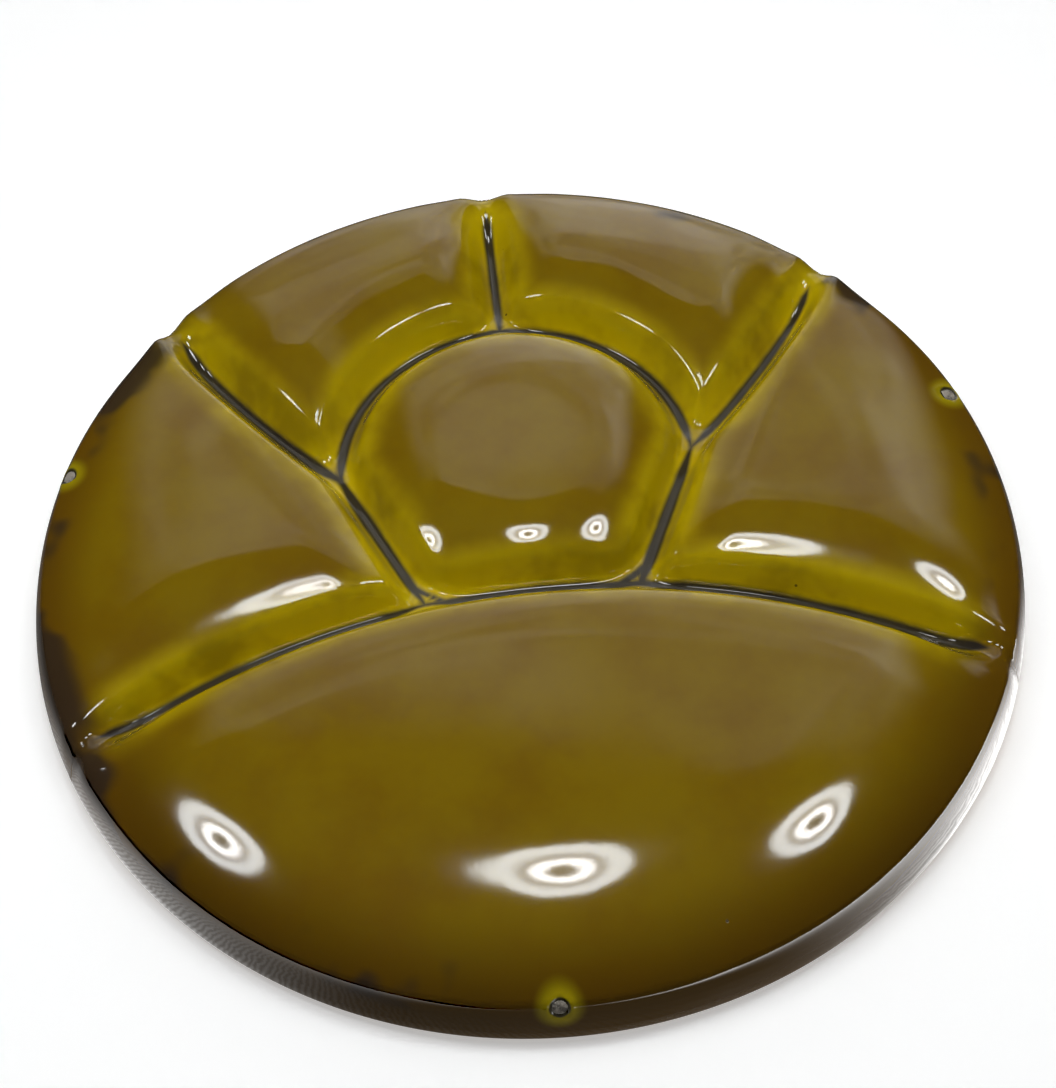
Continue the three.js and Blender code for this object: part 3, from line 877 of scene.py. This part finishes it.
# the clay between the coats, with a rough point in each scar
clayParts = {"backRings": 20, "skirtRings": 20, "faceRings": 20}
clayBack = sheet(backSide(0.0, clayParts["backRings"], clayParts["skirtRings"]))
gaps, ways = addScarGaps(clayBack, seats)
roughX, roughY = (np.sin(clayBack["points"][:, n] * scarShape["roughWaves"][n]) for n in (0, 1))
point = scarShape["pointHeight"] * smooth(scarShape["point"], scarShape["pointTop"], gaps)
point = point * (1 + scarShape["pointRough"] * roughX * roughY)
clayBack["points"] = clayBack["points"] + point[:, None] * ways
clayFace = sheet(faceSide(0.0, clayParts["faceRings"]))
addScarGaps(clayFace, seats)
clay = makePiece("clayBody", [clayBack, clayFace], [], clayMaterial("clay", clayLook))
print("clay made with", len(clay.data.polygons), "faces")

for piece, node, slot in (
    (clay, "clay_body", "clay"),
    (backGlaze, "back_glaze", "back_glaze"),
    (faceGlaze, "face_glaze", "face_glaze"),
):
    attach(piece, "root")
    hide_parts(node)

# the camera looks at the back of the plate, which lies face down, so its view is worked out in the
# frame of the table: right, away from the camera and up, in mm
view = {
    "distance": 519.74,
    "elevation": math.radians(55.217),
    "roll": math.radians(-2.449),
    "target": (0.138, 9.696, 0.0),
    "turn": math.radians(3.888),
    "focal": 2000.0,  # in points of the image
    "imageHeight": 1088.0,
    "sensor": 36.0,
    "nearest": 10.0,
}
tableToPlate = Matrix(((-1, 0, 0, 0), (0, 1, 0, 0), (0, 0, -1, form["height"]), (0, 0, 0, 1)))


def addCamera():
    cosine, sine = math.cos(view["elevation"]), math.sin(view["elevation"])
    right, up, back = Vector((1, 0, 0)), Vector((0, sine, cosine)), Vector((0, -cosine, sine))
    place = Vector(view["target"]) + view["distance"] * back
    rolled = math.cos(view["roll"]) * right + math.sin(view["roll"]) * up
    upright = math.cos(view["roll"]) * up - math.sin(view["roll"]) * right
    onTable = Matrix((rolled, upright, back)).transposed().to_4x4()
    onTable.translation = place
    whole = tableToPlate @ Matrix.Rotation(-view["turn"], 4, "Z") @ onTable
    whole.translation = whole.translation * mm
    data = bpy.data.cameras.new("photoCamera")
    data.sensor_width = view["sensor"]
    data.lens = view["focal"] / view["imageHeight"] * view["sensor"]
    data.clip_start = view["nearest"] * mm
    camera = bpy.data.objects.new("photoCamera", data)
    camera.matrix_world = whole
    bpy.context.scene.collection.objects.link(camera)
    bpy.context.scene.camera = camera


addCamera()
print("camera placed")


# a flat ring of quads facing along +Z or -Z
def ringMesh(name, inner, outer, z, facing, sides=96):
    angles = np.linspace(0, fullTurn, sides, endpoint=False)
    circle = np.stack([np.cos(angles), np.sin(angles), np.zeros(sides)], -1)
    points = np.concatenate([circle * inner, circle * outer]) + [0, 0, z]
    near = np.arange(sides)
    after = np.roll(near, -1)
    quads = np.stack([near, near + sides, after + sides, after], -1)[:, ::facing]
    mesh = bpy.data.meshes.new(name)
    mesh.from_pydata((points * mm).tolist(), [], quads.tolist())
    piece = bpy.data.objects.new(name, mesh)
    bpy.context.scene.collection.objects.link(piece)
    return piece


floorLook = {
    "tableHole": 121.0,  # just inside the crest of the lip
    "standHole": 1.0,
    "standDrop": 0.05,
    "reach": 4000.0,
    "colour": (0.82, 0.82, 0.82, 1.0),
    "glow": 0.42,
    "inShade": 0.12,  # what the glaze mirrors
    "inLight": 5.2,
    "aside": (0.002, 0.0144),  # along X, in m squared
    "front": (-0.01, -0.09),  # along Y, in m
    "sides": 0.6,
    "lighterLeft": 3.0,
    "weave": {"Scale": 260.0, "Distortion": 5.0},
    "weaveShare": 0.5,
    "weaveLeast": 0.75,
}


# pale floor that shows from one side only, so that the plate can be seen from above and from below;
# the glaze mirrors it as a table that is lit on one side
def floorMaterial(name, look, inReflections):
    material, start = newMaterial(name)
    camera = start.node("ShaderNodeLightPath", {}, {}, "Is Camera Ray")
    behind = start.node("ShaderNodeNewGeometry", {}, {}, "Backfacing")
    seen = camera
    pale = start.node("ShaderNodeBsdfDiffuse", {}, {"Color": look["colour"]})
    glow = start.node("ShaderNodeEmission", {}, {"Color": (1, 1, 1, 1), "Strength": look["glow"]})
    shown = start.node("ShaderNodeAddShader", {}, {0: pale, 1: glow})
    if inReflections:
        seen = camera + start.node("ShaderNodeLightPath", {}, {}, "Is Glossy Ray")
        where = start.node("ShaderNodeTexCoord", {}, {}, "Object")
        threads = {"Vector": where, **look["weave"]}
        weave = start.node("ShaderNodeTexWave", {"bands_direction": "DIAGONAL"}, threads, 1)
        right, forward = (axis(start, where, n) for n in (0, 1))
        aside = (right * right).ramp(*look["aside"]) * (look["sides"] - right * look["lighterLeft"])
        level = aside * forward.ramp(*look["front"]) * look["inLight"] + look["inShade"]
        level = level * (weave * look["weaveShare"] + look["weaveLeast"])
        mirrored = start.node("ShaderNodeEmission", {}, {"Strength": level})
        shown = start.node("ShaderNodeMixShader", {}, {0: camera, 1: mirrored, 2: shown})
    clear = start.node("ShaderNodeBsdfTransparent", {}, {})
    shown = start.node("ShaderNodeMixShader", {}, {0: seen * (1 - behind), 1: clear, 2: shown})
    start.node("ShaderNodeOutputMaterial", {}, {"Surface": shown})
    return material


tableFloor = ringMesh("tableFloor", floorLook["tableHole"], floorLook["reach"], form["height"], -1)
tableFloor.data.materials.append(floorMaterial("tableFloor", floorLook, True))
standFloor = ringMesh("standFloor", floorLook["standHole"], floorLook["reach"], -floorLook["standDrop"], 1)
standFloor.data.materials.append(floorMaterial("standFloor", floorLook, False))

lamps = {
    "places": {"left": (-332, 74, 640), "middle": (23, 94, 690), "right": (255, 54, 660)},
    "radius": 63.0,
    "hole": 0.5,
    "strength": 31.0,
    "rings": [  # brightness from the middle out
        (0.0, (0.03, 0.03, 0.03, 1)),
        (0.22, (0.03, 0.03, 0.03, 1)),
        (0.27, (1, 1, 1, 1)),
        (0.43, (1, 1, 1, 1)),
        (0.48, (0.13, 0.13, 0.13, 1)),
        (0.6, (0.18, 0.18, 0.18, 1)),
        (0.74, (0.47, 0.49, 0.5, 1)),
        (1.0, (0.47, 0.49, 0.5, 1)),
    ],
}


# a round lamp over the table: a bright ring round a dark middle, and a paler band at its edge
def addLamp(name, place, look):
    lamp = ringMesh("lamp" + name, look["hole"], look["radius"], 0.0, -1)
    towards = Vector((0, 0, form["height"])) - Vector(place)
    turn = towards.to_track_quat("-Z", "Y").to_matrix().to_4x4()
    put = tableToPlate @ Matrix.Translation(Vector(place)) @ turn
    put.translation = put.translation * mm
    lamp.matrix_world = put
    lamp.visible_camera = False
    material, start = newMaterial("lamp" + name)
    where = start.node("ShaderNodeTexCoord", {}, {}, "Object")
    reach = start.node("ShaderNodeVectorMath", {"operation": "LENGTH"}, {0: where}, "Value")
    rings = start.node("ShaderNodeValToRGB", {"stops": look["rings"]}, {0: reach / (look["radius"] * mm)})
    behind = start.node("ShaderNodeNewGeometry", {}, {}, "Backfacing")
    strength = (1 - behind) * look["strength"]
    glow = start.node("ShaderNodeEmission", {}, {"Color": rings, "Strength": strength})
    start.node("ShaderNodeOutputMaterial", {}, {"Surface": glow})
    lamp.data.materials.append(material)


for lampName, lampPlace in lamps["places"].items():
    addLamp(lampName.capitalize(), lampPlace, lamps)

# the last one lights the back, but is not mirrored in it
studio = {
    "key": {"place": (-450, -420, 780), "size": 620.0, "power": 9.0, "isMirrored": True},
    "fill": {"place": (620, 260, 560), "size": 520.0, "power": 3.0, "isMirrored": True},
    "overTable": {"place": (10, 80, -640), "size": 420.0, "power": 1.75, "isMirrored": False},
}
for name, look in studio.items():
    data = bpy.data.lights.new(name, "AREA")
    data.size = look["size"] * mm
    data.energy = look["power"]
    light = bpy.data.objects.new(name, data)
    light.location = Vector(look["place"]) * mm
    light.rotation_euler = (Vector((0, 0, 0)) - light.location).to_track_quat("-Z", "Y").to_euler()
    light.visible_glossy = look["isMirrored"]
    bpy.context.scene.collection.objects.link(light)

# pairs are limits on a unit vector that points into the room: to the right, away or down
room = {
    "dim": 0.032,
    "wall": 0.96,
    "above": 0.36,
    "aboveFade": 0.4,
    "horizon": (0.02, -0.02),
    "tilt": 0.12,  # of the top of the wall
    "wallTop": (0.868, 0.842),
    "sillTop": (0.872, 0.862),
    "sillFoot": (0.842, 0.854),
    "sillShare": 0.5,
    "far": (0.28, 0.5),
    "rightEnd": (0.36, 0.2),
    "leftEnd": (-0.5, -0.36),
    "lowLight": 1.75,
    "midLight": 0.76,
    "lighterLeft": 1.3,
    "broad": {"Scale": 3.4, "Detail": 1.5, "Roughness": 0.5},
    "broadBetween": (0.44, 0.56),
    "broadShare": 0.5,
    "small": {"Scale": 11.0, "Detail": 1.0, "Roughness": 0.5},
    "smallBetween": (0.46, 0.54),
    "smallShare": 0.2,
    "least": 0.5,
}


# the room: white to the camera, a pale far wall and a dim rest under the plate, soft light above it
def addRoom(look):
    world = bpy.data.worlds.new("room")
    world.use_nodes = True
    bpy.context.scene.world = world
    world.node_tree.nodes.clear()
    start = Socket(world.node_tree)
    way = start.node("ShaderNodeTexCoord", {}, {}, "Generated")
    right, far, up = (axis(start, way, n) for n in range(3))
    down = 0.0 - up
    edge = down + right * look["tilt"]
    broad = noise(start, way, look["broad"]).ramp(*look["broadBetween"]) * look["broadShare"]
    small = noise(start, way, look["small"]).ramp(*look["smallBetween"]) * look["smallShare"]
    patches = broad + small + look["least"]
    sill = edge.ramp(*look["sillTop"]) * edge.ramp(*look["sillFoot"])
    wall = (edge.ramp(*look["wallTop"]) + sill * look["sillShare"]) * far.ramp(*look["far"]) * patches
    wall = wall * (look["lowLight"] - down) * (look["midLight"] - right * look["lighterLeft"]) * look["wall"]
    wall = wall * right.ramp(*look["rightEnd"]) * right.ramp(*look["leftEnd"])
    below = wall + look["dim"]
    above = look["above"] * (1.0 - down * look["aboveFade"])
    light = below + (above - below) * down.ramp(*look["horizon"])
    camera = start.node("ShaderNodeLightPath", {}, {}, "Is Camera Ray")
    strength = light + (1.0 - light) * camera
    shown = start.node("ShaderNodeBackground", {}, {"Color": (1, 1, 1, 1), "Strength": strength})
    start.node("ShaderNodeOutputWorld", {}, {"Surface": shown})


addRoom(room)
bpy.context.scene.view_settings.view_transform = "Standard"
print("stage and lights placed")
